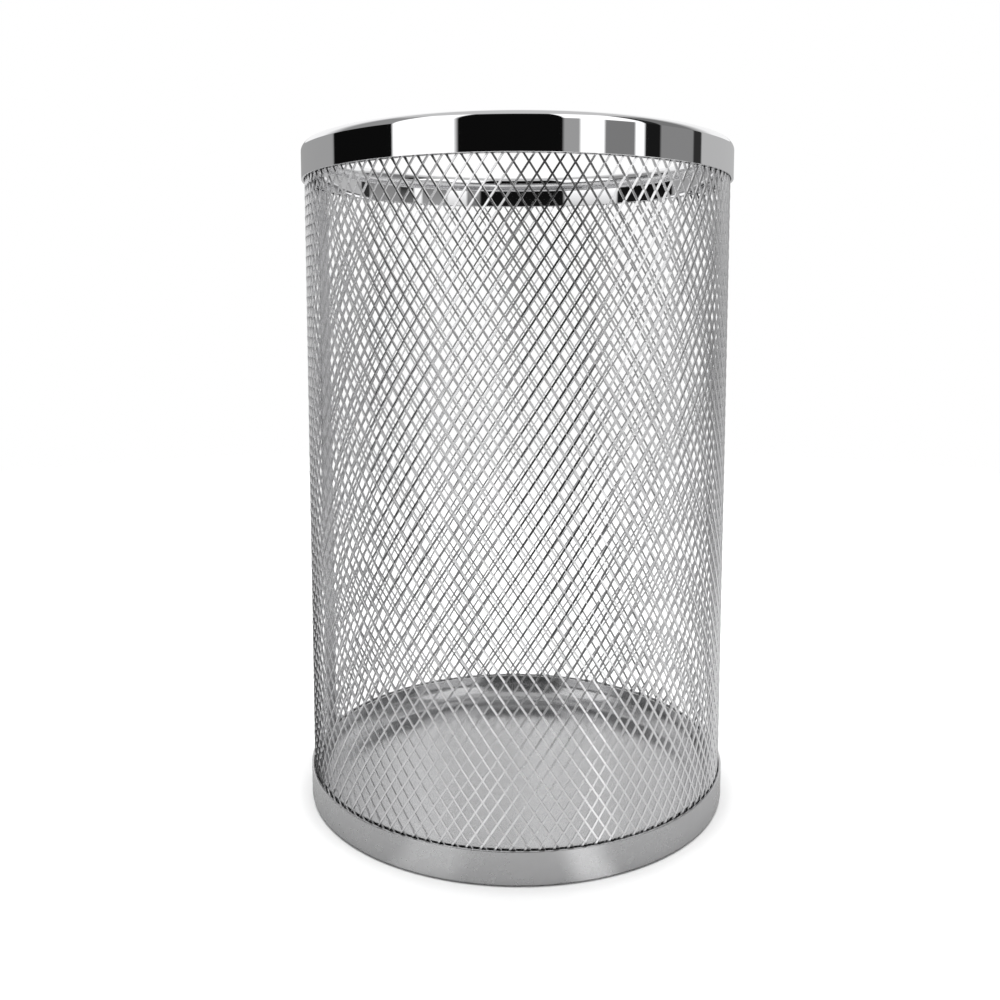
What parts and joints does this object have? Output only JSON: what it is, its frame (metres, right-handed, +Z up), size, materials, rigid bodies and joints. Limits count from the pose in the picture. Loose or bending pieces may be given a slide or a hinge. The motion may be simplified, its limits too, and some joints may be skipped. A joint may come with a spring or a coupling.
{
  "type": "mesh pen holder cup",
  "caption": "Tall round pen cup with a diamond mesh wall, a polished rolled rim and a solid satin base band and floor, open at the top.",
  "frame": {"origin": "centre of the base, on the surface the cup stands on", "axes": "+Z up along the cup's axis; the picture looks along +Y, so -Y is the front; the mesh's seam is just behind the left side"},
  "size_m": [0.0654, 0.0654, 0.1],
  "materials": {
    "rim_chrome": "mirror-polished chrome plate",
    "hoop_wire": "dull galvanised steel wire",
    "mesh_steel": "bright plated expanded metal",
    "base_silver": "satin silver lacquer on pressed steel"
  },
  "bodies": {
    "root": {"rim_cover": "rim_chrome", "rim_hoop_wire": "hoop_wire", "mesh_sleeve": "mesh_steel", "mesh_seam_strip": "mesh_steel", "base_band": "base_silver", "floor_tray": "base_silver"}
  },
  "joints": []
}
